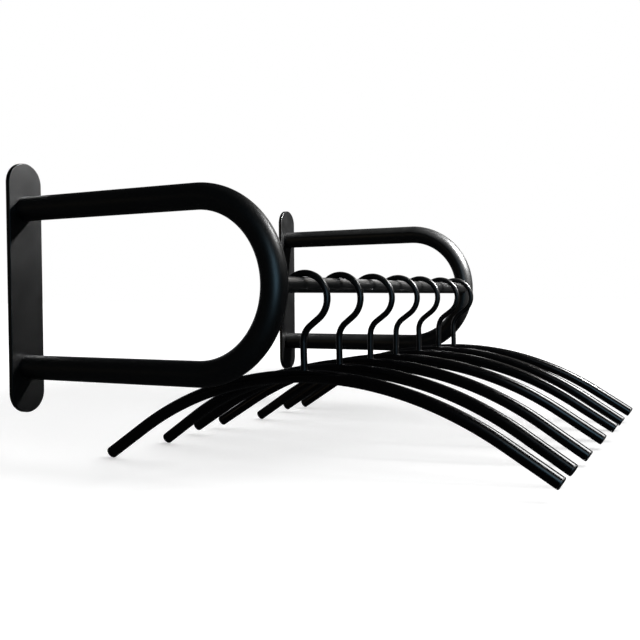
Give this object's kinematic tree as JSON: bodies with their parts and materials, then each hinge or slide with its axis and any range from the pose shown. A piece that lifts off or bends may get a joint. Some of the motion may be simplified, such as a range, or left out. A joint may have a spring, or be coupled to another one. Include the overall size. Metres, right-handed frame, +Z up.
{
  "type": "wall-mounted clothes rail",
  "caption": "Wall-mounted clothes rail: a round rail between U-bent tube brackets on rounded wall plates, with hangers whose hooks slide along the rail and whose arched bars swivel.",
  "frame": {"origin": "on the wall plane, midway between the wall plates, level with the rail's axis", "axes": "+X along the rail, to the right seen from the room; +Y into the wall; +Z up"},
  "size_m": [0.599, 0.5409, 0.3083],
  "materials": {
    "bracket_coat": "satin black powder coat",
    "rail_coat": "satin black powder coat",
    "plate_coat": "matt black powder coat",
    "hook_enamel": "gloss black enamel",
    "bar_enamel": "gloss black enamel",
    "plug_plastic": "satin black",
    "plain_steel": "zinc plated",
    "black_steel": "black oxide"
  },
  "bodies": {
    "frame": {"left_wall_plate": "plate_coat", "left_bracket_tube": "bracket_coat", "left_upper_sleeve": "plain_steel", "left_lower_sleeve": "plain_steel", "left_upper_grub_screw": "black_steel", "left_lower_grub_screw": "black_steel", "left_rail_spigot": "plain_steel", "left_rail_grub_screw": "black_steel", "right_wall_plate": "plate_coat", "right_bracket_tube": "bracket_coat", "right_upper_sleeve": "plain_steel", "right_lower_sleeve": "plain_steel", "right_upper_grub_screw": "black_steel", "right_lower_grub_screw": "black_steel", "right_rail_spigot": "plain_steel", "right_rail_grub_screw": "black_steel", "rail_tube": "rail_coat"},
    "hook_1": {"hanger_1_hook": "hook_enamel"},
    "bar_1": {"hanger_1_bar": "bar_enamel", "hanger_1_hook_nut": "plain_steel", "hanger_1_room_plug": "plug_plastic", "hanger_1_wall_plug": "plug_plastic"},
    "hook_2": {"hanger_2_hook": "hook_enamel"},
    "bar_2": {"hanger_2_bar": "bar_enamel", "hanger_2_hook_nut": "plain_steel", "hanger_2_room_plug": "plug_plastic", "hanger_2_wall_plug": "plug_plastic"},
    "hook_3": {"hanger_3_hook": "hook_enamel"},
    "bar_3": {"hanger_3_bar": "bar_enamel", "hanger_3_hook_nut": "plain_steel", "hanger_3_room_plug": "plug_plastic", "hanger_3_wall_plug": "plug_plastic"},
    "hook_4": {"hanger_4_hook": "hook_enamel"},
    "bar_4": {"hanger_4_bar": "bar_enamel", "hanger_4_hook_nut": "plain_steel", "hanger_4_room_plug": "plug_plastic", "hanger_4_wall_plug": "plug_plastic"},
    "hook_5": {"hanger_5_hook": "hook_enamel"},
    "bar_5": {"hanger_5_bar": "bar_enamel", "hanger_5_hook_nut": "plain_steel", "hanger_5_room_plug": "plug_plastic", "hanger_5_wall_plug": "plug_plastic"},
    "hook_6": {"hanger_6_hook": "hook_enamel"},
    "bar_6": {"hanger_6_bar": "bar_enamel", "hanger_6_hook_nut": "plain_steel", "hanger_6_room_plug": "plug_plastic", "hanger_6_wall_plug": "plug_plastic"},
    "hook_7": {"hanger_7_hook": "hook_enamel"},
    "bar_7": {"hanger_7_bar": "bar_enamel", "hanger_7_hook_nut": "plain_steel", "hanger_7_room_plug": "plug_plastic", "hanger_7_wall_plug": "plug_plastic"}
  },
  "joints": [
    {"name": "hook_1_slide", "type": "slide", "parent": "frame", "child": "hook_1", "axis": [1, 0, 0], "range_m": [-0.03, 0.04]},
    {"name": "hook_2_slide", "type": "slide", "parent": "frame", "child": "hook_2", "axis": [1, 0, 0], "range_m": [-0.04, 0.049]},
    {"name": "hook_3_slide", "type": "slide", "parent": "frame", "child": "hook_3", "axis": [1, 0, 0], "range_m": [-0.049, 0.033]},
    {"name": "hook_4_slide", "type": "slide", "parent": "frame", "child": "hook_4", "axis": [1, 0, 0], "range_m": [-0.033, 0.04]},
    {"name": "hook_5_slide", "type": "slide", "parent": "frame", "child": "hook_5", "axis": [1, 0, 0], "range_m": [-0.04, 0.06]},
    {"name": "hook_6_slide", "type": "slide", "parent": "frame", "child": "hook_6", "axis": [1, 0, 0], "range_m": [-0.06, 0.032]},
    {"name": "hook_7_slide", "type": "slide", "parent": "frame", "child": "hook_7", "axis": [1, 0, 0], "range_m": [-0.032, 0.033]},
    {"name": "bar_1_swivel", "type": "hinge", "parent": "hook_1", "child": "bar_1", "pos_m": [-0.22685, -0.3015, 0], "axis": [-0.0002, 0.0209, 0.9998], "range_deg": [-8, 8]},
    {"name": "bar_2_swivel", "type": "hinge", "parent": "hook_2", "child": "bar_2", "pos_m": [-0.15012, -0.3015, 0], "axis": [0.0013, 0.0192, 0.9998], "range_deg": [-8, 8]},
    {"name": "bar_3_swivel", "type": "hinge", "parent": "hook_3", "child": "bar_3", "pos_m": [-0.06811, -0.3015, 0], "axis": [0, -0.0017, 1], "range_deg": [-8, 8]},
    {"name": "bar_4_swivel", "type": "hinge", "parent": "hook_4", "child": "bar_4", "pos_m": [0.00778, -0.3015, 0], "axis": [0, 0, 1], "range_deg": [-8, 8]},
    {"name": "bar_5_swivel", "type": "hinge", "parent": "hook_5", "child": "bar_5", "pos_m": [0.08173, -0.3015, 0], "axis": [-0.0007, 0.0209, 0.9998], "range_deg": [-8, 8]},
    {"name": "bar_6_swivel", "type": "hinge", "parent": "hook_6", "child": "bar_6", "pos_m": [0.16124, -0.3015, 0], "axis": [-0.0002, 0.0052, 1], "range_deg": [-8, 8]},
    {"name": "bar_7_swivel", "type": "hinge", "parent": "hook_7", "child": "bar_7", "pos_m": [0.22323, -0.3015, 0], "axis": [-0.0015, 0.0156, 0.9999], "range_deg": [-8, 8]}
  ]
}
